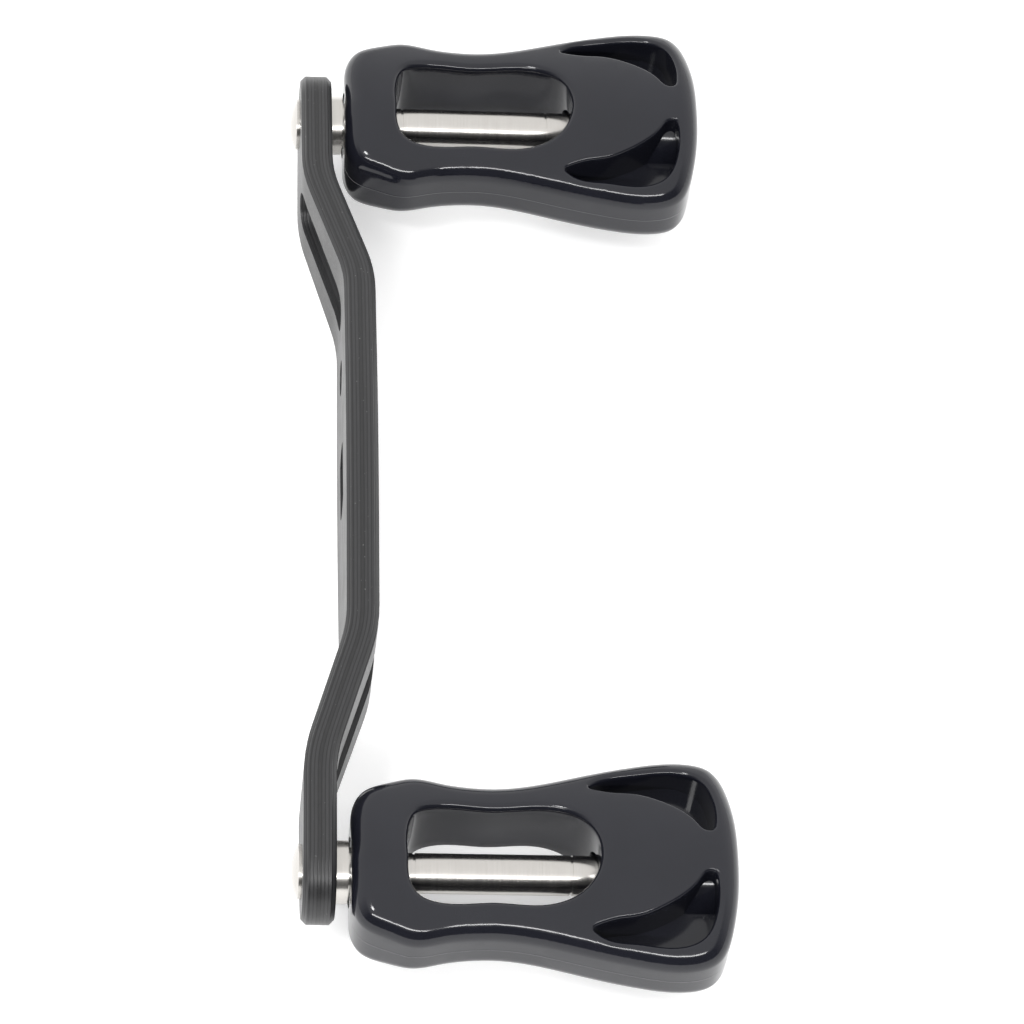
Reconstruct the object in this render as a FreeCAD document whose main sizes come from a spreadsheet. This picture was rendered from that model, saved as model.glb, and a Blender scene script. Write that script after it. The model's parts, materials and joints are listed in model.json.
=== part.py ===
import FreeCAD, Part
import math
import os
import re
import Sketcher

# Double-knob crank handle: a cranked plate with a free-spinning knob at each end.
# Frame: origin at the drive hole's centre on the hub's outer face, +X along the drive axis towards
# the knobs, +Y along the plate, +Z across the plate's width. Millimetres.
# A knob's own pieces are drawn from the plate end's outer face, along the knob's axis, as +X.

SIZES = [
    ("knob_spacing", 90.0, "between the two knob axes"),
    ("plate_thick", 3.25, "plate thickness"),
    ("crank_offset", 4.23, "step between the hub and the plate's ends"),
    ("bend_outer", 34.53, "outer bend from the drive axis"),
    ("bend_inner", 21.06, "inner bend from the drive axis"),
    ("bend_radius", 14.0, "radius on the hollow side of a bend"),
    ("tip_radius", 5.17, "rounded plate end"),
    ("hub_reach", 12.0, "half length of the bulged hub"),
    ("hub_shoulder", 8.55, "half width where the bulge starts"),
    ("hub_bulge", 96.5, "radius of the hub's bulged edge"),
    ("slot_near", 19.0, "slot end next to the hub"),
    ("slot_far", 35.5, "slot end next to the knob"),
    ("slot_half", 2.48, "half width of a slot"),
    ("drive_half", 4.0, "radius of the double-D drive hole"),
    ("drive_flat", 2.5, "drive axis to a flat of the hole"),
    ("retainer_y", 12.6, "retainer screw hole from the drive axis"),
    ("retainer_radius", 1.9, "retainer screw hole"),
    ("edge_chamfer", 0.5, "chamfer round the plate"),
    ("rivet_radius", 2.7, "formed head on the plate's outer face"),
    ("rivet_rim", 0.35, "straight rim of the formed head"),
    ("rivet_high", 1.0, "height of the formed head"),
    ("rivet_dome", 4.6, "dome radius of the formed head"),
    ("rivet_flat", 0.6, "flat centre of the formed head"),
    ("tail_radius", 1.5, "shaft tail through the plate"),
    ("flange_radius", 3.13, "shaft flange"),
    ("flange_end", 4.47, "far side of the flange"),
    ("step_radius", 2.45, "step that carries the inner race"),
    ("shaft_radius", 2.0, "knob shaft"),
    ("relief_near", 10.8, "first relief groove"),
    ("relief_far", 26.2, "second relief groove"),
    ("relief_wide", 0.25, "relief groove width"),
    ("relief_deep", 0.12, "relief groove depth"),
    ("bearing_near", 4.77, "outer face of the inner bearing"),
    ("bearing_far", 31.5, "inner face of the outer bearing"),
    ("bearing_wide", 2.5, "bearing width"),
    ("bearing_radius", 3.5, "bearing outer radius"),
    ("race_pitch", 2.75, "ball circle radius"),
    ("race_inner", 2.55, "shoulder of the inner race"),
    ("race_outer", 2.95, "shoulder of the outer race"),
    ("groove_radius", 0.43, "ball track"),
    ("ball_radius", 0.4, "ball"),
    ("cage_half", 0.55, "half width of the ball cage"),
    ("cage_play", 0.07, "gap between the cage and a race"),
    ("ball_play", 0.03, "gap between the cage and a ball"),
    ("shield_thick", 0.12, "bearing shield"),
    ("shield_radius", 3.2, "shield seat in the outer race"),
    ("shield_play", 0.06, "gap between a shield and the inner race"),
    ("screw_radius", 1.25, "end screw shank"),
    ("screw_deep", 6.0, "end screw engagement"),
    ("screw_head", 2.3, "end screw head radius"),
    ("head_high", 1.4, "end screw head height"),
    ("socket_flats", 1.5, "hexagon socket across flats"),
    ("socket_deep", 0.8, "hexagon socket depth"),
    ("washer_radius", 2.5, "washer"),
    ("washer_thick", 0.3, "washer thickness"),
    ("knob_start", 4.67, "knob's near end"),
    ("knob_end", 42.4, "knob's far end"),
    ("knob_crown", 24.0, "radius of the knob's crowned faces"),
    ("knob_edge", 2.2, "rounding of the knob's edges"),
    ("knob_bore", 2.4, "bore between the bearings"),
    ("window_edge", 0.65, "rounding of the window's edges"),
    ("pocket_edge", 0.45, "rounding of the pockets' edges"),
    ("pocket_web", 0.7, "half thickness of the pocket floor"),
    ("boss_radius", 4.4, "boss around the access bore"),
    ("cap_radius", 3.9, "end cap"),
    ("cap_start", 40.6, "inner face of the end cap"),
    ("cap_end", 42.1, "outer face of the end cap"),
    ("cap_chamfer", 0.25, "end cap rim"),
    ("pin_hole_radius", 0.5, "spanner hole in the end cap"),
    ("pin_hole_reach", 2.3, "spanner hole from the cap's axis"),
    ("pin_hole_deep", 0.8, "spanner hole depth"),
]
ALIASES = {alias for alias, size, meaning in SIZES}
BALL_COUNT = 7

doc = FreeCAD.newDocument("crank_handle")
sheet = doc.addObject("Spreadsheet::Sheet", "sizes")
for row, (alias, size, meaning) in enumerate(SIZES, start=1):
    sheet.set(f"A{row}", meaning)
    sheet.set(f"B{row}", str(size))
    sheet.setAlias(f"B{row}", alias)
reader = doc.addObject("App::FeaturePython", "reader")
doc.recompute()

pieces = []


def linked(formula):
    """A formula of sheet names, written so that any object can use it."""
    return re.sub(r"[A-Za-z_]\w*", lambda word: "sizes." + word[0] if word[0] in ALIASES else word[0], formula)


def number(formula):
    return float(reader.evalExpression(linked(formula)))


# ---- helpers for bodies and sketches --------------------------------------------------------

def new_body(label, side=None):
    """A body; side is +1 or -1 for a piece on a knob axis, None for one on the drive axis."""
    body = doc.addObject("PartDesign::Body", label)
    body.Label = label
    place(body, side)
    pieces.append(body)
    return body


def place(piece, side):
    if side is None:
        return
    piece.Placement = FreeCAD.Placement()
    piece.setExpression("Placement.Base.x", linked("-crank_offset"))
    piece.setExpression("Placement.Base.y", linked(f"{side} * knob_spacing / 2"))


def new_sketch(body, name, role, offset=None):
    sketch = body.newObject("Sketcher::SketchObject", name)
    plane = [feature for feature in body.Origin.OriginFeatures if feature.Role == role][0]
    sketch.AttachmentSupport = (plane, "")
    sketch.MapMode = "FlatFace"
    if offset is not None:
        sketch.setExpression("AttachmentOffset.Base.z", linked(offset))
    return sketch


def arc_between(start, end, radius):
    """The minor arc from start to end; a positive radius turns left, a negative one right."""
    chord = end - start
    reach = math.sqrt(max(radius * radius - chord.Length ** 2 / 4, 0.0))
    left = FreeCAD.Vector(-chord.y, chord.x, 0).normalize()
    centre = (start + end) * 0.5 + left * reach * math.copysign(1, radius)
    first = math.atan2(start.y - centre.y, start.x - centre.x)
    last = math.atan2(end.y - centre.y, end.x - centre.x)
    if radius < 0:
        first, last = last, first
    if last < first:
        last += 2 * math.pi
    circle = Part.Circle(centre, FreeCAD.Vector(0, 0, 1), abs(radius))
    return Part.ArcOfCircle(circle, first, last)


def add_loop(sketch, corners):
    """A closed loop. A corner is (x, y) before a line, or (x, y, radius, turn) before an arc."""
    points = [FreeCAD.Vector(number(corner[0]), number(corner[1]), 0) for corner in corners]
    ends = []
    for index, corner in enumerate(corners):
        start = points[index]
        end = points[(index + 1) % len(points)]
        if len(corner) == 2:
            edge = sketch.addGeometry(Part.LineSegment(start, end))
            ends.append((edge, 1, 2))
            continue
        turn = corner[3]
        edge = sketch.addGeometry(arc_between(start, end, turn * number(corner[2])))
        ends.append((edge, 1, 2) if turn > 0 else (edge, 2, 1))
        tied = sketch.addConstraint(Sketcher.Constraint("Radius", edge, number(corner[2])))
        sketch.setExpression(f"Constraints[{tied}]", linked(corner[2]))
    for index, (edge, first, last) in enumerate(ends):
        following = ends[(index + 1) % len(ends)]
        sketch.addConstraint(Sketcher.Constraint("Coincident", edge, last, following[0], following[1]))
        for kind, formula, at in (("DistanceX", corners[index][0], points[index].x),
                                  ("DistanceY", corners[index][1], points[index].y)):
            tied = sketch.addConstraint(Sketcher.Constraint(kind, -1, 1, edge, first, at))
            sketch.setExpression(f"Constraints[{tied}]", linked(formula))


def add_circle(sketch, across, up, radius):
    centre = FreeCAD.Vector(number(across), number(up), 0)
    circle = sketch.addGeometry(Part.Circle(centre, FreeCAD.Vector(0, 0, 1), number(radius)))
    for kind, formula, at in (("DistanceX", across, centre.x), ("DistanceY", up, centre.y)):
        tied = sketch.addConstraint(Sketcher.Constraint(kind, -1, 1, circle, 3, at))
        sketch.setExpression(f"Constraints[{tied}]", linked(formula))
    tied = sketch.addConstraint(Sketcher.Constraint("Radius", circle, number(radius)))
    sketch.setExpression(f"Constraints[{tied}]", linked(radius))


def turned(body, corners, kind="PartDesign::Revolution"):
    """A turned shape: corners are (along the axis, radius)."""
    sketch = new_sketch(body, "profile", "XY_Plane")
    add_loop(sketch, corners)
    feature = body.newObject(kind, "turned")
    feature.Profile = sketch
    feature.ReferenceAxis = (sketch, ["H_Axis"])
    feature.Angle = 360
    doc.recompute()
    return feature


def cut_through(body, sketch):
    """A pocket right through the body; it has to take material away."""
    doc.recompute()
    before = body.Shape.Volume
    pocket = body.newObject("PartDesign::Pocket", "cut")
    pocket.Profile = sketch
    pocket.Type = "ThroughAll"
    pocket.Midplane = True
    doc.recompute()
    if not pocket.Shape.Volume < before:
        raise ValueError(f"{body.Label}: {sketch.Name} cuts nothing")
    return pocket


def cut_blind(body, sketch, depth, reverse):
    doc.recompute()
    before = body.Shape.Volume
    pocket = body.newObject("PartDesign::Pocket", "cut")
    pocket.Profile = sketch
    pocket.setExpression("Length", linked(depth))
    pocket.Reversed = reverse
    doc.recompute()
    if not pocket.Shape.Volume < before:
        raise ValueError(f"{body.Label}: {sketch.Name} cuts nothing")
    return pocket


def edge_names(shape, wanted):
    return [f"Edge{index}" for index, edge in enumerate(shape.Edges, start=1) if wanted(edge)]


# ---- the plate -------------------------------------------------------------------------------

def plate_profile(sketch):
    """Side view of the cranked plate, with sharp bends."""
    slope = "atan(crank_offset / (bend_outer - bend_inner))"
    shift = f"plate_thick * tan({slope} / 2)"
    length = "(knob_spacing / 2 + tip_radius + 1)"
    add_loop(sketch, [
        ("-crank_offset", f"-{length}"),
        ("plate_thick - crank_offset", f"-{length}"),
        ("plate_thick - crank_offset", f"-(bend_outer + {shift})"),
        ("plate_thick", f"-(bend_inner + {shift})"),
        ("plate_thick", f"bend_inner + {shift}"),
        ("plate_thick - crank_offset", f"bend_outer + {shift}"),
        ("plate_thick - crank_offset", length),
        ("-crank_offset", length),
        ("-crank_offset", "bend_outer"),
        ("0", "bend_inner"),
        ("0", "-bend_inner"),
        ("-crank_offset", "-bend_outer"),
    ])


def plate_outline(sketch):
    """Front view: everything outside the tapered outline is trimmed away."""
    end = "knob_spacing / 2"
    add_loop(sketch, [
        (f"{end} + tip_radius", "0", "tip_radius", 1),
        (end, "tip_radius"),
        ("hub_reach", "hub_shoulder", "hub_bulge", 1),
        ("-hub_reach", "hub_shoulder"),
        (f"-{end}", "tip_radius", "tip_radius", 1),
        (f"-({end} + tip_radius)", "0", "tip_radius", 1),
        (f"-{end}", "-tip_radius"),
        ("-hub_reach", "-hub_shoulder", "hub_bulge", 1),
        ("hub_reach", "-hub_shoulder"),
        (end, "-tip_radius", "tip_radius", 1),
    ])
    corner = f"({end} + 2 * tip_radius)"
    add_loop(sketch, [
        (corner, corner),
        (f"-{corner}", corner),
        (f"-{corner}", f"-{corner}"),
        (corner, f"-{corner}"),
    ])


def plate_openings(sketch):
    """The two lightening slots, the double-D drive hole and the round holes."""
    for side in ("1", "-1"):
        near = f"{side} * (slot_near + slot_half)"
        far = f"{side} * (slot_far - slot_half)"
        turn = int(side)
        add_loop(sketch, [
            (near, "-slot_half"),
            (far, "-slot_half", "slot_half", turn),
            (f"{side} * slot_far", "0", "slot_half", turn),
            (far, "slot_half"),
            (near, "slot_half", "slot_half", turn),
            (f"{side} * slot_near", "0", "slot_half", turn),
        ])
        add_circle(sketch, f"{side} * knob_spacing / 2", "0", "tail_radius")
    reach = "sqrt(drive_half ^ 2 - drive_flat ^ 2)"
    add_loop(sketch, [
        (f"-{reach}", "-drive_flat"),
        (reach, "-drive_flat", "drive_half", 1),
        (reach, "drive_flat"),
        (f"-{reach}", "drive_flat", "drive_half", 1),
    ])
    add_circle(sketch, "retainer_y", "0", "retainer_radius")


def make_plate():
    body = new_body("arm_plate")
    profile = new_sketch(body, "side_view", "XY_Plane")
    plate_profile(profile)
    pad = body.newObject("PartDesign::Pad", "slab")
    pad.Profile = profile
    pad.Midplane = True
    pad.setExpression("Length", linked("4 * hub_shoulder"))
    doc.recompute()
    for name, hollow in (("hollow_bends", True), ("round_bends", False)):
        round_bends(body, name, hollow)
    outline = new_sketch(body, "front_view", "YZ_Plane")
    plate_outline(outline)
    cut_through(body, outline)
    openings = new_sketch(body, "openings", "YZ_Plane")
    plate_openings(openings)
    cut_through(body, openings)
    base = body.Tip
    chamfer = body.newObject("PartDesign::Chamfer", "rim")
    chamfer.Base = (base, edge_names(base.Shape, on_plate_rim))
    chamfer.setExpression("Size", linked("edge_chamfer"))
    doc.recompute()


def round_bends(body, name, hollow):
    """Rounds the two hollow bends or the two full bends, on both faces of the plate."""
    outer_x = number("-crank_offset")
    inner_x = number("plate_thick - crank_offset")

    def is_bend(edge):
        middle = edge.BoundBox.Center
        across = edge.BoundBox.ZLength > 1 and edge.BoundBox.YLength < 0.01
        inside = abs(middle.y) < number("knob_spacing / 2")
        is_hollow = abs(middle.x - inner_x) < 0.01 or abs(middle.x) < 0.01
        is_full = abs(middle.x - outer_x) < 0.01 or abs(middle.x - number("plate_thick")) < 0.01
        return across and inside and (is_hollow if hollow else is_full)

    base = body.Tip
    fillet = body.newObject("PartDesign::Fillet", name)
    fillet.Base = (base, edge_names(base.Shape, is_bend))
    fillet.setExpression("Radius", linked("bend_radius" if hollow else "bend_radius + plate_thick"))
    doc.recompute()


def on_plate_rim(edge):
    """Edges of the plate's two faces that run along its outer outline."""
    middle = edge.valueAt((edge.FirstParameter + edge.LastParameter) / 2)
    runs_along = edge.BoundBox.YLength > 0.3
    taper = number("(hub_shoulder - tip_radius) / (knob_spacing / 2 - hub_reach)")
    half_width = number("hub_shoulder") - taper * (abs(middle.y) - number("hub_reach"))
    beyond_tip = abs(middle.y) > number("knob_spacing / 2") + number("tail_radius") + 0.5
    return runs_along and (abs(middle.z) > half_width - 1.0 or beyond_tip)


make_plate()

# ---- one knob's shaft and fasteners ------------------------------------------------------------

def make_shaft(name, side):
    """Headed through the plate's end: dome, tail, flange, race step, then the long journal."""
    body = new_body(f"{name}_shaft", side)
    journal_end = "(bearing_far + bearing_wide)"
    deep = "shaft_radius - relief_deep"
    corners = [
        ("-rivet_high", "0"),
        ("-rivet_high", "rivet_flat", "rivet_dome", -1),
        ("-rivet_rim", "rivet_radius"),
        ("0", "rivet_radius"),
        ("0", "tail_radius"),
        ("plate_thick", "tail_radius"),
        ("plate_thick", "flange_radius"),
        ("flange_end", "flange_radius"),
        ("flange_end", "step_radius"),
        ("bearing_near", "step_radius"),
        ("bearing_near", "shaft_radius"),
    ]
    for start in ("relief_near", "relief_far"):
        corners += [
            (start, "shaft_radius"),
            (start, deep),
            (f"{start} + relief_wide", deep),
            (f"{start} + relief_wide", "shaft_radius"),
        ]
    corners += [
        (journal_end, "shaft_radius"),
        (journal_end, "screw_radius"),
        (f"{journal_end} - screw_deep", "screw_radius"),
        (f"{journal_end} - screw_deep", "0"),
    ]
    turned(body, corners)


def make_washer(name, side):
    body = new_body(f"{name}_washer", side)
    start = "bearing_far + bearing_wide"
    turned(body, [
        (start, "screw_radius"),
        (f"{start} + washer_thick", "screw_radius"),
        (f"{start} + washer_thick", "washer_radius"),
        (start, "washer_radius"),
    ])


def make_screw(name, side):
    body = new_body(f"{name}_end_screw", side)
    face = "bearing_far + bearing_wide + washer_thick"
    turned(body, [
        (f"{face} - washer_thick - screw_deep", "0"),
        (f"{face} - washer_thick - screw_deep", "screw_radius"),
        (face, "screw_radius"),
        (face, "screw_head"),
        (f"{face} + head_high", "screw_head"),
        (f"{face} + head_high", "0"),
    ])
    socket = new_sketch(body, "socket", "YZ_Plane", f"{face} + head_high")
    across = "socket_flats / 2"
    up = f"{across} * tan(30)"
    add_loop(socket, [
        (across, up),
        ("0", f"{across} / cos(30)"),
        (f"-{across}", up),
        (f"-{across}", f"-{up}"),
        ("0", f"-{across} / cos(30)"),
        (across, f"-{up}"),
    ])
    cut_blind(body, socket, "socket_deep", False)


def make_cap(name, side):
    body = new_body(f"{name}_end_cap", side)
    turned(body, [
        ("cap_start", "0"),
        ("cap_start", "cap_radius"),
        ("cap_end - cap_chamfer", "cap_radius"),
        ("cap_end", "cap_radius - cap_chamfer"),
        ("cap_end", "0"),
    ])
    holes = new_sketch(body, "spanner_holes", "YZ_Plane", "cap_end")
    for turn in ("1", "-1"):
        add_circle(holes, f"{turn} * pin_hole_reach", "0", "pin_hole_radius")
    cut_blind(body, holes, "pin_hole_deep", False)


# ---- one ball bearing ----------------------------------------------------------------------------

def make_races(name, side, start):
    """Inner and outer race, with a ball track each and seats for the shields in the outer one."""
    end = f"{start} + bearing_wide"
    middle = f"{start} + bearing_wide / 2"
    inner_reach = "sqrt(groove_radius ^ 2 - (race_pitch - race_inner) ^ 2)"
    inner = new_body(f"{name}_inner_race", side)
    turned(inner, [
        (start, "shaft_radius"),
        (start, "race_inner"),
        (f"{middle} - {inner_reach}", "race_inner", "groove_radius", 1),
        (f"{middle} + {inner_reach}", "race_inner"),
        (end, "race_inner"),
        (end, "shaft_radius"),
    ])
    outer = new_body(f"{name}_outer_race", side)
    turned(outer, [
        (start, "bearing_radius"),
        (start, "shield_radius"),
        (f"{start} + shield_thick", "shield_radius"),
        (f"{start} + shield_thick", "race_outer"),
        (f"{middle} - {inner_reach}", "race_outer", "groove_radius", -1),
        (f"{middle} + {inner_reach}", "race_outer"),
        (f"{end} - shield_thick", "race_outer"),
        (f"{end} - shield_thick", "shield_radius"),
        (end, "shield_radius"),
        (end, "bearing_radius"),
    ])


def ring(name, start, width, inner, outer):
    """A plain ring on the knob's axis, as a Part primitive pair."""
    solid = doc.addObject("Part::Cylinder", f"{name}_blank")
    hole = doc.addObject("Part::Cylinder", f"{name}_hole")
    for part, radius in ((solid, outer), (hole, inner)):
        part.setExpression("Radius", linked(radius))
        part.setExpression("Height", linked(width))
        part.Placement = FreeCAD.Placement(FreeCAD.Vector(), FreeCAD.Rotation(0, 90, 0))
        part.setExpression("Placement.Base.x", linked(start))
    tube = doc.addObject("Part::Cut", f"{name}_ring")
    tube.Base = solid
    tube.Tool = hole
    return tube


def ball_row(name, start, radius):
    """The bearing's balls, or the holes that their cage leaves round them."""
    balls = []
    for index in range(BALL_COUNT):
        angle = 360 * index / BALL_COUNT
        ball = doc.addObject("Part::Sphere", f"{name}_{index}")
        ball.setExpression("Radius", linked(radius))
        ball.setExpression("Placement.Base.x", linked(f"{start} + bearing_wide / 2"))
        ball.setExpression("Placement.Base.y", linked(f"race_pitch * cos({angle})"))
        ball.setExpression("Placement.Base.z", linked(f"race_pitch * sin({angle})"))
        balls.append(ball)
    return balls


def make_small_parts(name, side, start):
    """The balls, their cage and the two shields."""
    balls = doc.addObject("Part::Compound", f"{name}_balls")
    balls.Links = ball_row(f"{name}_ball", start, "ball_radius")
    middle = f"{start} + bearing_wide / 2"
    cage = doc.addObject("Part::Cut", f"{name}_cage")
    cage.Base = ring(f"{name}_cage", f"{middle} - cage_half", "2 * cage_half",
                     "race_inner + cage_play", "race_outer - cage_play")
    holes = doc.addObject("Part::Compound", f"{name}_cage_holes")
    holes.Links = ball_row(f"{name}_cage_hole", start, "ball_radius + ball_play")
    cage.Tool = holes
    shields = doc.addObject("Part::Compound", f"{name}_shields")
    shields.Links = [
        ring(f"{name}_near_shield", start, "shield_thick", "race_inner + shield_play", "shield_radius"),
        ring(f"{name}_far_shield", f"{start} + bearing_wide - shield_thick", "shield_thick",
             "race_inner + shield_play", "shield_radius"),
    ]
    for piece in (balls, cage, shields):
        piece.Label = piece.Name
        place(piece, side)
        pieces.append(piece)


# ---- the knob body ---------------------------------------------------------------------------------

def vector(along, across, up=0.0):
    return FreeCAD.Vector(along, across, up)


def mirrored_loop(points):
    """A smooth closed outline in plan, from its near end to its far end and back as a mirror image."""
    other_side = [(along, -across) for along, across in reversed(points) if across > 0]
    curve = Part.BSplineCurve()
    curve.interpolate([vector(*point) for point in points + other_side], PeriodicFlag=True)
    return Part.Wire([curve.toShape()])


def prism(wire, low, high):
    """The outline made into a solid between two heights."""
    face = Part.Face(wire)
    face.translate(vector(0, 0, low))
    return face.extrude(vector(0, 0, high - low))


def crowned_blank():
    """The knob's thickness: two crowned faces whose height changes along the knob."""
    radius = number("knob_crown")
    half_width = 13.0
    stations = [(3.0, 4.8), (11.3, 5.25), (18.5, 4.85), (28.0, 5.45), (37.5, 6.1), (44.0, 6.25)]
    sections = []
    for along, height in stations:
        side = height - radius + math.sqrt(radius ** 2 - half_width ** 2)
        corners = [vector(along, y, z) for y, z in
                   ((half_width, side), (-half_width, side), (-half_width, -side), (half_width, -side))]
        sections.append(Part.Wire([
            Part.Arc(corners[0], vector(along, 0, height), corners[1]).toShape(),
            Part.LineSegment(corners[1], corners[2]).toShape(),
            Part.Arc(corners[2], vector(along, 0, -height), corners[3]).toShape(),
            Part.LineSegment(corners[3], corners[0]).toShape(),
        ]))
    return Part.makeLoft(sections, True, False)


def paddle_outline():
    start = number("knob_start")
    end = number("knob_end")
    return mirrored_loop([
        (start, 0.0), (start, 2.8), (start + 0.12, 5.4), (start + 0.95, 7.1), (8.3, 8.45), (10.4, 9.08),
        (11.9, 9.06),
        (13.7, 8.66), (16.4, 8.3), (19.2, 8.25), (23.2, 8.8), (28.0, 9.95), (33.0, 11.0), (37.3, 11.35), (40.3, 10.35),
        (41.8, 7.0), (42.3, 3.5), (end, 0.0)])


def window_outline():
    return mirrored_loop([
        (10.1, 0.0), (10.15, 2.2), (11.0, 4.3), (13.3, 5.13), (18.5, 4.95), (23.7, 5.13), (27.35, 3.65), (28.9, 0.0)])


def pocket_outline(side):
    """A curved triangle beside the axis, its long edge parallel to the knob's flank."""
    rim = [
        (28.1, 7.8), (28.6, 8.2), (32.4, 9.1), (36.6, 9.4), (38.9, 8.4), (39.95, 6.0), (40.1, 3.3), (39.7, 2.3),
        (39.1, 2.35), (38.4, 3.1), (35.8, 5.3), (32.4, 6.7), (28.7, 7.35)]
    curve = Part.BSplineCurve()
    curve.interpolate([vector(along, side * across) for along, across in rim], PeriodicFlag=True)
    return Part.Wire([curve.toShape()])


def axis_cylinder(start, end, radius):
    return Part.makeCylinder(radius, end - start, vector(start, 0), vector(1, 0))


def rounded(solid, radius, wanted):
    edges = [edge for edge in solid.Edges if wanted(edge)]
    return solid.makeFillet(radius, edges)


def on_outline(wire, near=0.05):
    """Edges that lie over an outline in plan and run along a crowned face."""
    clear_of_boss = number("boss_radius") + 0.3
    above_floor = number("pocket_web") + 0.5

    def wanted(edge):
        middle = edge.valueAt((edge.FirstParameter + edge.LastParameter) / 2)
        over = wire.distToShape(Part.Vertex(vector(middle.x, middle.y)))[0] < near
        on_face = abs(middle.z) > above_floor and math.hypot(middle.y, middle.z) > clear_of_boss
        return over and on_face and not isinstance(edge.Curve, Part.Line)
    return wanted


def knob_solid():
    paddle = paddle_outline()
    window = window_outline()
    solid = prism(paddle, -12, 12).common(crowned_blank())
    solid = rounded(solid, number("knob_edge"), on_outline(paddle))
    solid = solid.cut(prism(window, -12, 12))
    solid = rounded(solid, number("window_edge"), on_outline(window))
    boss = axis_cylinder(25, 45, number("boss_radius"))
    web = number("pocket_web")
    for side in (1, -1):
        pocket = pocket_outline(side)
        for low, high in ((web, 12), (-12, -web)):
            solid = solid.cut(prism(pocket, low, high).cut(boss))
        solid = rounded(solid, number("pocket_edge"), on_outline(pocket))
    near_seat = number("bearing_near + bearing_wide")
    far_seat = number("bearing_far")
    bearing = number("bearing_radius")
    solid = solid.cut(axis_cylinder(0, near_seat, bearing))
    solid = solid.cut(axis_cylinder(0, far_seat + 1, number("knob_bore")))
    solid = solid.cut(axis_cylinder(far_seat, 45, bearing))
    return solid.cut(axis_cylinder(number("cap_start"), 45, number("cap_radius")))


def make_knob(name, side, solid):
    knob = doc.addObject("Part::Feature", f"{name}_body")
    knob.Label = knob.Name
    knob.Shape = solid
    place(knob, side)
    pieces.append(knob)


# ---- both knobs, then the files ----------------------------------------------------------------------

paddle_solid = knob_solid()
for name, side in (("knob_a", 1), ("knob_b", -1)):
    make_shaft(name, side)
    make_knob(name, side, paddle_solid)
    for end, start in (("near", "bearing_near"), ("far", "bearing_far")):
        make_races(f"{name}_{end}_bearing", side, start)
        make_small_parts(f"{name}_{end}_bearing", side, start)
    make_washer(name, side)
    make_screw(name, side)
    make_cap(name, side)
doc.recompute()

for item in doc.Objects:
    if "Invalid" in item.State or "Error" in item.State:
        raise ValueError(f"{item.Name} failed")

os.makedirs("parts", exist_ok=True)
for piece in pieces:
    if piece.Shape.isNull() or not piece.Shape.isValid():
        raise ValueError(f"{piece.Label} has no valid shape")
    piece.Shape.exportStep(f"parts/{piece.Label}.step")
print(len(pieces), "pieces written")
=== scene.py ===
import json
import math
import bmesh
import bpy
from mathutils import Matrix, Vector


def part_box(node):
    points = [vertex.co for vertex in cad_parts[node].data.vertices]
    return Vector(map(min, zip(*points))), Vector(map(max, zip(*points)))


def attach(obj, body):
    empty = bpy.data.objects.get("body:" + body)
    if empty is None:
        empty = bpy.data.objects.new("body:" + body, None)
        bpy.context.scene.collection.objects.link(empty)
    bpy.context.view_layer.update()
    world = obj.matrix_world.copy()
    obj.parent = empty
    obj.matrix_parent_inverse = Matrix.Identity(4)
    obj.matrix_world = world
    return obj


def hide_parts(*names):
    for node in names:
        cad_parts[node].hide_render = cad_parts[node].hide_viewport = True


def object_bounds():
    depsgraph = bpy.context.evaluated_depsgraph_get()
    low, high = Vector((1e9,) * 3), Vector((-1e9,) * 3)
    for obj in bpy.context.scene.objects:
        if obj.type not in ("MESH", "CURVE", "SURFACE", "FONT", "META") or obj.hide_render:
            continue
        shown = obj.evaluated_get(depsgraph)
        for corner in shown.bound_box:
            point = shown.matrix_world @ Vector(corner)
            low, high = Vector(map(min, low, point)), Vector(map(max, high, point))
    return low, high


# Double-knob crank handle, dressed for display. Metres, in the frame's own axes:
# +X from the reel towards the knobs, +Y along the plate, +Z across the plate's width.

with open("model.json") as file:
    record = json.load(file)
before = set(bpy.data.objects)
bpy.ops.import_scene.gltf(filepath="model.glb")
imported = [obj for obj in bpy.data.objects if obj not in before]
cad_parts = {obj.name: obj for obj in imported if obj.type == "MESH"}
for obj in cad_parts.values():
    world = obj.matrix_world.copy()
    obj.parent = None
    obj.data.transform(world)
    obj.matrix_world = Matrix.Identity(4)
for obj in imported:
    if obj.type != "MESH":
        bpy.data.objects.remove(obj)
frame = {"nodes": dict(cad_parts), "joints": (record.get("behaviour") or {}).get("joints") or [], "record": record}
cad_box = [list(corner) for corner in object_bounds()]
record = frame["record"]
MM = 0.001

# The plate's bends, which its plies follow, in millimetres.
CRANK_OFFSET = 4.23
BEND_INNER = 21.3
BEND_OUTER = 34.8
BEND_EASE = 1.0
PLY_PITCH = 0.36

# The knobs, in millimetres: their axes, and where the mould's parting line shows.
KNOB_REACH = 45.0
PARTING_LINE = (0.02, 0.09)
PARTING_FLANK = (5.5, 6.0)
PARTING_FAR_END = (28.0, 30.0)

# The bearings' balls, in millimetres, and how finely each is drawn.
BALL_COUNT = 7
BALL_RADIUS = 0.4
BALL_CIRCLE = 2.75
BALL_SEGMENTS = 24
BALL_RINGS = 12

# A joined skin: points within this many millimetres are one, and an edge sharper than this stays crisp.
MERGE_WITHIN = 0.0005
CORNER_DEGREES = 32.0

# The floor, in metres, and its own faint glow.
FLOOR_SIZE = 6.0
FLOOR_GAP = 0.0002
FLOOR_GLOW = 0.3

# The studio: brightness towards the viewer near the horizon, and everywhere else.
SURROUND_DIM = 0.15
SURROUND_BRIGHT = 1.3

# Softboxes: azimuth and elevation in degrees, distance and size in metres, power in watts.
SOFTBOXES = {
    "key_light": (-8.0, 46.0, 0.8, (0.7, 0.05), 3.0),
    "window_light": (-50.0, 62.0, 0.8, (0.12, 0.12), 1.5),
}

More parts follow.
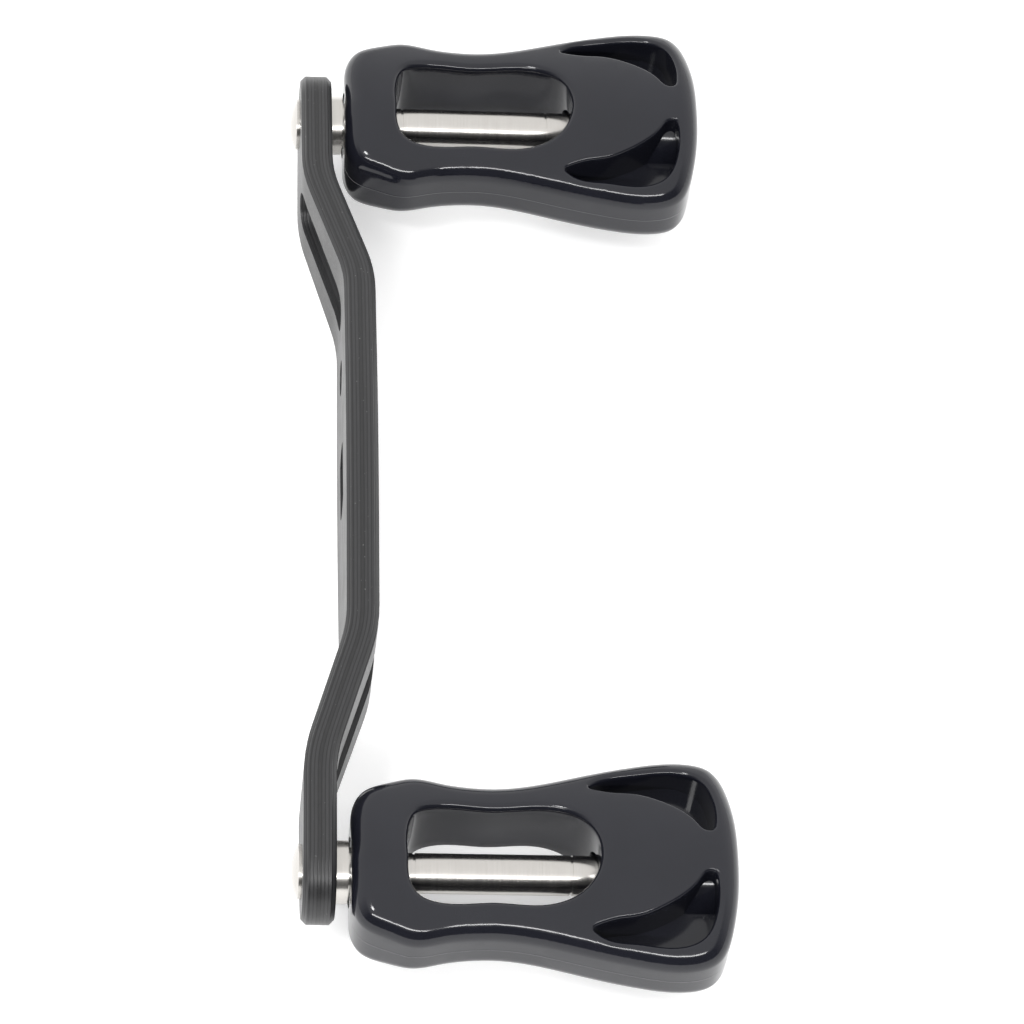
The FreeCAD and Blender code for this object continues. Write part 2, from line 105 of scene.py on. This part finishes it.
# The camera: aim and distance in millimetres, angles in degrees, lens and sensor in millimetres.
CAMERA_AIM = (17.4, -3.3, 0.1)
CAMERA_DISTANCE = 499.7
CAMERA_TURN = 8.94
CAMERA_RISE = 57.8
CAMERA_ROLL = 8.85
CAMERA_LENS = 171.9
CAMERA_SENSOR = 36.0

body_of_node = {node: body for body, nodes in record["behaviour"]["bodies"].items() for node in nodes}
slot_of_node = {entry["node"]: entry["material_slot"] for entry in record["subparts"]}


# ---- short ways to write node trees ---------------------------------------------------------

def add(tree, kind, inputs=None, **settings):
    """A node with its settings and inputs; an input may be a constant or another node's socket."""
    made = tree.nodes.new(kind)
    for name, value in settings.items():
        setattr(made, name, value)
    for name, value in (inputs or {}).items():
        if isinstance(value, bpy.types.NodeSocket):
            tree.links.new(value, made.inputs[name])
        else:
            made.inputs[name].default_value = value
    return made


def maths(tree, operation, first, second=0.0, third=0.0):
    return add(tree, "ShaderNodeMath", {0: first, 1: second, 2: third}, operation=operation).outputs[0]


def spread(tree, value, low, high, start, end):
    """Maps a value from low..high to start..end and keeps it there."""
    inputs = {"Value": value, "From Min": low, "From Max": high, "To Min": start, "To Max": end}
    return add(tree, "ShaderNodeMapRange", inputs).outputs[0]


def blend_colours(tree, share, first, second):
    inputs = {"Factor": share, "A": (*first, 1.0) if isinstance(first, tuple) else first,
              "B": (*second, 1.0) if isinstance(second, tuple) else second}
    mix = tree.nodes.new("ShaderNodeMix")
    mix.data_type = "RGBA"
    for name, value in inputs.items():
        socket = [entry for entry in mix.inputs if entry.name == name and entry.enabled][0]
        if isinstance(value, bpy.types.NodeSocket):
            tree.links.new(value, socket)
        else:
            socket.default_value = value
    return [entry for entry in mix.outputs if entry.enabled][0]


def noise(tree, place, scale, detail=3.0, rough=0.55):
    inputs = {"Vector": place, "Scale": scale, "Detail": detail, "Roughness": rough}
    return add(tree, "ShaderNodeTexNoise", inputs).outputs[0]


def stretched(tree, place, along, across, up):
    """Millimetre coordinates squeezed or drawn out along each axis."""
    return add(tree, "ShaderNodeMapping", {"Vector": place, "Scale": (along, across, up)}).outputs[0]


def bump(tree, height, distance, strength, normal=None):
    inputs = {"Height": height, "Distance": distance * MM, "Strength": strength}
    if normal is not None:
        inputs["Normal"] = normal
    return add(tree, "ShaderNodeBump", inputs).outputs[0]


def new_finish(name, **constants):
    """A Principled material with its constant sockets set, and its coordinates in millimetres."""
    material = bpy.data.materials.new(name)
    material.use_nodes = True
    tree = material.node_tree
    shader = tree.nodes["Principled BSDF"]
    for socket, value in constants.items():
        shader.inputs[socket.replace("_", " ")].default_value = value
    raw = add(tree, "ShaderNodeTexCoord").outputs["Object"]
    place = stretched(tree, raw, 1 / MM, 1 / MM, 1 / MM)
    return material, tree, shader, place


def feed(tree, shader, **sockets):
    for name, socket in sockets.items():
        tree.links.new(socket, shader.inputs[name.replace("_", " ")])


# ---- finishes ---------------------------------------------------------------------------------

def carbon_laminate():
    """Pressed carbon plies, seen as fine dark and light lines along the plate's cut edges.

    A ply's depth is measured through the plate, so the lines follow both of its bends.
    """
    material, tree, shader, place = new_finish("carbon_laminate", Specular_IOR_Level=0.45)
    axes = add(tree, "ShaderNodeSeparateXYZ", {0: place})
    reach = maths(tree, "ABSOLUTE", axes.outputs[1])
    slope = CRANK_OFFSET / (BEND_OUTER - BEND_INNER)
    drop = maths(tree, "MULTIPLY_ADD", reach, slope, -BEND_INNER * slope)
    drop = maths(tree, "SMOOTH_MAX", drop, 0.0, BEND_EASE)
    drop = maths(tree, "SMOOTH_MIN", drop, CRANK_OFFSET, BEND_EASE)
    waver = noise(tree, stretched(tree, place, 0.3, 0.05, 0.3), 1.0, 2.0)
    depth = maths(tree, "ADD", axes.outputs[0], drop)
    depth = maths(tree, "MULTIPLY_ADD", waver, 0.1, depth)
    layer = maths(tree, "DIVIDE", depth, PLY_PITCH)
    seam = maths(tree, "ABSOLUTE", maths(tree, "SUBTRACT", maths(tree, "FRACT", layer), 0.5))
    seam = spread(tree, seam, 0.28, 0.46, 0.0, 1.0)
    layer_tone = add(tree, "ShaderNodeTexWhiteNoise", {"W": maths(tree, "FLOOR", layer)},
                     noise_dimensions="1D").outputs["Value"]
    fibres = noise(tree, stretched(tree, place, 9.0, 0.35, 9.0), 1.0, 4.0, 0.7)
    cloudy = noise(tree, place, 0.25, 4.0, 0.6)
    tone = maths(tree, "MULTIPLY_ADD", layer_tone, 0.4, maths(tree, "MULTIPLY", fibres, 0.6))
    colour = blend_colours(tree, tone, (0.0045, 0.0045, 0.005), (0.036, 0.036, 0.038))
    colour = blend_colours(tree, maths(tree, "MULTIPLY", seam, 0.85), colour, (0.003, 0.003, 0.003))
    specks = spread(tree, noise(tree, place, 3.1, 2.0, 0.5), 0.735, 0.76, 0.0, 0.5)
    colour = blend_colours(tree, specks, colour, (0.2, 0.2, 0.2))
    rough = spread(tree, maths(tree, "MULTIPLY_ADD", fibres, 0.6, maths(tree, "MULTIPLY", cloudy, 0.4)),
                   0.3, 0.7, 0.3, 0.48)
    lines = bump(tree, seam, -0.03, 0.6)
    grain = bump(tree, fibres, 0.012, 0.4, lines)
    feed(tree, shader, Base_Color=colour, Roughness=rough, Normal=grain)
    return material


def gloss_black():
    """Polished black moulding: faint orange peel, hairline wipe marks and the mould's parting line."""
    material, tree, shader, place = new_finish("gloss_black", Specular_IOR_Level=0.42, IOR=1.48)
    peel = noise(tree, place, 0.8, 2.0)
    cloudy = noise(tree, place, 0.16, 4.0, 0.6)
    wiped = noise(tree, stretched(tree, place, 0.5, 7.0, 7.0), 1.0, 3.0, 0.7)
    colour = blend_colours(tree, cloudy, (0.006, 0.0065, 0.01), (0.011, 0.0115, 0.017))
    rough = maths(tree, "MULTIPLY_ADD", wiped, 0.05, spread(tree, cloudy, 0.3, 0.7, 0.06, 0.11))
    axes = add(tree, "ShaderNodeSeparateXYZ", {0: place})
    parting = spread(tree, maths(tree, "ABSOLUTE", axes.outputs[2]), *PARTING_LINE, 1.0, 0.0)
    from_axis = maths(tree, "SUBTRACT", maths(tree, "ABSOLUTE", axes.outputs[1]), KNOB_REACH)
    flank = spread(tree, maths(tree, "ABSOLUTE", from_axis), *PARTING_FLANK, 0.0, 1.0)
    far_end = spread(tree, axes.outputs[0], *PARTING_FAR_END, 0.0, 1.0)
    parting = maths(tree, "MULTIPLY", parting, maths(tree, "MAXIMUM", flank, far_end))
    line = bump(tree, parting, 0.03, 0.6)
    skin = bump(tree, peel, 0.008, 0.25, line)
    feed(tree, shader, Base_Color=colour, Roughness=rough, Normal=skin)
    return material


def turned_metal(name, dark, light, low, high, rings=16.0):
    """Metal turned about the knob's axis: rings of fine tool marks and slight staining.

    dark and light are its colours, low and high its roughness, rings the tool marks per millimetre.
    """
    material, tree, shader, place = new_finish(name, Metallic=1.0)
    marks = noise(tree, stretched(tree, place, rings, 0.1, 0.1), 1.0, 1.0, 0.5)
    stain = noise(tree, place, 0.7, 4.0, 0.6)
    tone = maths(tree, "MULTIPLY_ADD", marks, 0.6, maths(tree, "MULTIPLY", stain, 0.4))
    colour = blend_colours(tree, tone, dark, light)
    rough = spread(tree, marks, 0.3, 0.7, low, high)
    feed(tree, shader, Base_Color=colour, Roughness=rough, Normal=bump(tree, marks, 0.0005, 0.08))
    return material


def satin_black():
    """Fine spark texture on the screwed end cap."""
    material, tree, shader, place = new_finish("satin_black", Specular_IOR_Level=0.45)
    spark = noise(tree, place, 5.0, 4.0, 0.7)
    cloudy = noise(tree, place, 0.5, 3.0)
    colour = blend_colours(tree, cloudy, (0.012, 0.012, 0.014), (0.024, 0.024, 0.027))
    rough = spread(tree, spark, 0.3, 0.7, 0.35, 0.55)
    feed(tree, shader, Base_Color=colour, Roughness=rough, Normal=bump(tree, spark, 0.02, 0.4))
    return material


finishes = {
    "moulded_plate": carbon_laminate(),
    "gloss_black": gloss_black(),
    "stainless_steel": turned_metal(
        "turned_stainless", (0.45, 0.435, 0.41), (0.56, 0.54, 0.515), 0.2, 0.26),
    "bearing_steel": turned_metal(
        "ground_steel", (0.5, 0.5, 0.5), (0.62, 0.62, 0.62), 0.08, 0.18, rings=4.0),
    "bearing_shield": turned_metal("shield_steel", (0.42, 0.42, 0.42), (0.55, 0.55, 0.54), 0.22, 0.36),
    "bearing_cage": turned_metal("cage_brass", (0.5, 0.36, 0.16), (0.66, 0.5, 0.24), 0.25, 0.4),
    "cap_black": satin_black(),
    "screw_steel": turned_metal("screw_steel", (0.34, 0.34, 0.34), (0.5, 0.5, 0.49), 0.25, 0.4),
}


# ---- pieces -----------------------------------------------------------------------------------

def finish_piece(piece, node):
    """Gives a new piece its finish and its body, and hides the frame node it stands for."""
    slot = slot_of_node[node]
    piece.data.materials.clear()
    piece.data.materials.append(finishes[slot])
    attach(piece, body_of_node[node])
    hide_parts(node)


def smooth_piece(node):
    """The node's shape as one joined skin, smooth over its curves and crisp at its corners."""
    skin = bmesh.new()
    skin.from_mesh(frame["nodes"][node].data)
    bmesh.ops.remove_doubles(skin, verts=skin.verts, dist=MERGE_WITHIN * MM)
    mesh = bpy.data.meshes.new(node + "_skin")
    skin.to_mesh(mesh)
    skin.free()
    # Normals stored for the loose triangles no longer fit the joined ones.
    stored = mesh.attributes.get("custom_normal")
    if stored is not None:
        mesh.attributes.remove(stored)
    mesh.shade_smooth()
    mesh.set_sharp_from_angle(angle=math.radians(CORNER_DEGREES))
    piece = bpy.data.objects.new(node + "_skin", mesh)
    bpy.context.scene.collection.objects.link(piece)
    finish_piece(piece, node)


def ball_row_tree():
    """Bearing balls set out on a circle about the knob's axis."""
    tree = bpy.data.node_groups.new("ball_row", "GeometryNodeTree")
    wanted = (
        ("Count", "NodeSocketInt"),
        ("Circle Radius", "NodeSocketFloat"),
        ("Ball Radius", "NodeSocketFloat"),
        ("Centre", "NodeSocketVector"),
        ("Finish", "NodeSocketMaterial"),
    )
    for name, kind in wanted:
        tree.interface.new_socket(name, in_out="INPUT", socket_type=kind)
    tree.interface.new_socket("Geometry", in_out="OUTPUT", socket_type="NodeSocketGeometry")
    given = tree.nodes.new("NodeGroupInput").outputs
    circle = add(tree, "GeometryNodeMeshCircle", {
        "Vertices": given["Count"], "Radius": given["Circle Radius"]})
    ball = add(tree, "GeometryNodeMeshUVSphere", {
        "Segments": BALL_SEGMENTS, "Rings": BALL_RINGS, "Radius": given["Ball Radius"]})
    smooth = add(tree, "GeometryNodeSetShadeSmooth", {"Geometry": ball.outputs[0]})
    row = add(tree, "GeometryNodeInstanceOnPoints", {
        "Points": circle.outputs[0], "Instance": smooth.outputs[0]})
    # The circle lies flat when it is made; turned so, the knob's axis passes through it.
    upright = add(tree, "GeometryNodeTransform", {
        "Geometry": row.outputs[0], "Translation": given["Centre"],
        "Rotation": (math.pi / 2, 0.0, math.pi / 2)})
    real = add(tree, "GeometryNodeRealizeInstances", {"Geometry": upright.outputs[0]})
    painted = add(tree, "GeometryNodeSetMaterial", {
        "Geometry": real.outputs[0], "Material": given["Finish"]})
    out = tree.nodes.new("NodeGroupOutput")
    tree.links.new(painted.outputs[0], out.inputs[0])
    return tree


def knob_axis(node):
    """The Y place of the knob axis that a node turns about."""
    for joint in frame["joints"]:
        if joint["child"] == node[:6]:
            return joint["pos_m"][1]
    raise ValueError(f"{node} is on no knob")


def ball_piece(node, tree):
    """The balls of one bearing, on its knob's axis and midway along the node's box."""
    low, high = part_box(node)
    centre = Vector(((low[0] + high[0]) / 2, knob_axis(node), 0.0))
    holder = bpy.data.objects.new(node + "_row", bpy.data.meshes.new(node + "_row"))
    bpy.context.scene.collection.objects.link(holder)
    modifier = holder.modifiers.new("balls", "NODES")
    modifier.node_group = tree
    values = {
        "Count": BALL_COUNT,
        "Circle Radius": BALL_CIRCLE * MM,
        "Ball Radius": BALL_RADIUS * MM,
        "Centre": centre,
        "Finish": finishes["bearing_steel"],
    }
    for entry in tree.interface.items_tree:
        if entry.name in values:
            modifier[entry.identifier] = values[entry.name]
    bpy.context.view_layer.update()
    evaluated = holder.evaluated_get(bpy.context.evaluated_depsgraph_get())
    mesh = bpy.data.meshes.new_from_object(evaluated)
    holder.modifiers.remove(modifier)
    holder.data = mesh
    finish_piece(holder, node)


balls = ball_row_tree()
for node in sorted(frame["nodes"]):
    if node.endswith("_balls"):
        ball_piece(node, balls)
    else:
        smooth_piece(node)


# ---- floor, light and camera -----------------------------------------------------------------

def make_floor():
    """A plain pale floor just under the handle's lowest point."""
    low = cad_box[0]
    bpy.ops.mesh.primitive_plane_add(size=FLOOR_SIZE, location=(0.0, 0.0, low[2] - FLOOR_GAP))
    floor = bpy.context.object
    floor.name = "floor"
    material = bpy.data.materials.new("pale_floor")
    material.use_nodes = True
    tree = material.node_tree
    shader = tree.nodes["Principled BSDF"]
    place = add(tree, "ShaderNodeTexCoord").outputs["Object"]
    cloudy = noise(tree, place, 4.0)
    feed(tree, shader, Base_Color=blend_colours(tree, cloudy, (0.93, 0.93, 0.93), (0.96, 0.96, 0.96)))
    shader.inputs["Roughness"].default_value = 0.9
    shader.inputs["Specular IOR Level"].default_value = 0.1
    shader.inputs["Emission Color"].default_value = (1.0, 1.0, 1.0, 1.0)
    shader.inputs["Emission Strength"].default_value = FLOOR_GLOW
    floor.data.materials.append(material)


def make_softbox(name, azimuth, elevation, distance, size, power):
    """A soft light that looks at the handle's middle; azimuth 0 is the viewer's side."""
    turn = math.radians(azimuth)
    rise = math.radians(elevation)
    direction = Vector((
        math.sin(turn) * math.cos(rise), -math.cos(turn) * math.cos(rise), math.sin(rise)))
    lamp = bpy.data.lights.new(name, "AREA")
    lamp.shape = "RECTANGLE"
    lamp.size = size[0]
    lamp.size_y = size[1]
    lamp.energy = power
    holder = bpy.data.objects.new(name, lamp)
    holder.location = direction * distance
    holder.rotation_euler = (-direction).to_track_quat("-Z", "Y").to_euler()
    bpy.context.scene.collection.objects.link(holder)


def make_surround():
    """A white studio that falls off towards the viewer's side near the horizon."""
    world = bpy.data.worlds.new("studio")
    world.use_nodes = True
    tree = world.node_tree
    direction = add(tree, "ShaderNodeTexCoord").outputs["Generated"]
    axes = add(tree, "ShaderNodeSeparateXYZ", {0: direction})
    towards_viewer = spread(tree, axes.outputs[1], -0.55, 0.1, 0.0, 1.0)
    overhead = spread(tree, axes.outputs[2], 0.6, 0.74, 0.0, 1.0)
    bright = maths(tree, "MAXIMUM", towards_viewer, overhead)
    level = spread(tree, bright, 0.0, 1.0, SURROUND_DIM, SURROUND_BRIGHT)
    back = tree.nodes["Background"]
    tree.links.new(level, back.inputs["Color"])
    back.inputs["Strength"].default_value = 1.0
    bpy.context.scene.world = world


def make_camera():
    """Looks down on the handle from beyond knob_b, rolled a little to stand the plate upright."""
    aim = Vector(CAMERA_AIM) * MM
    turn = math.radians(CAMERA_TURN)
    rise = math.radians(CAMERA_RISE)
    roll = math.radians(CAMERA_ROLL)
    distance = CAMERA_DISTANCE * MM
    away = Vector((-math.sin(turn) * math.cos(rise), -math.cos(turn) * math.cos(rise), math.sin(rise)))
    lens = bpy.data.cameras.new("camera")
    lens.sensor_width = CAMERA_SENSOR
    lens.lens = CAMERA_LENS
    lens.clip_start = 0.01
    camera = bpy.data.objects.new("camera", lens)
    facing = (-away).to_track_quat("-Z", "Y").to_matrix().to_4x4()
    place = Matrix.Translation(aim + away * distance)
    camera.matrix_world = place @ facing @ Matrix.Rotation(roll, 4, "Z")
    bpy.context.scene.collection.objects.link(camera)
    bpy.context.scene.camera = camera


make_floor()
make_surround()
for name, setting in SOFTBOXES.items():
    make_softbox(name, *setting)
make_camera()
view = bpy.context.scene.view_settings
view.view_transform = "Standard"
view.look = "None"
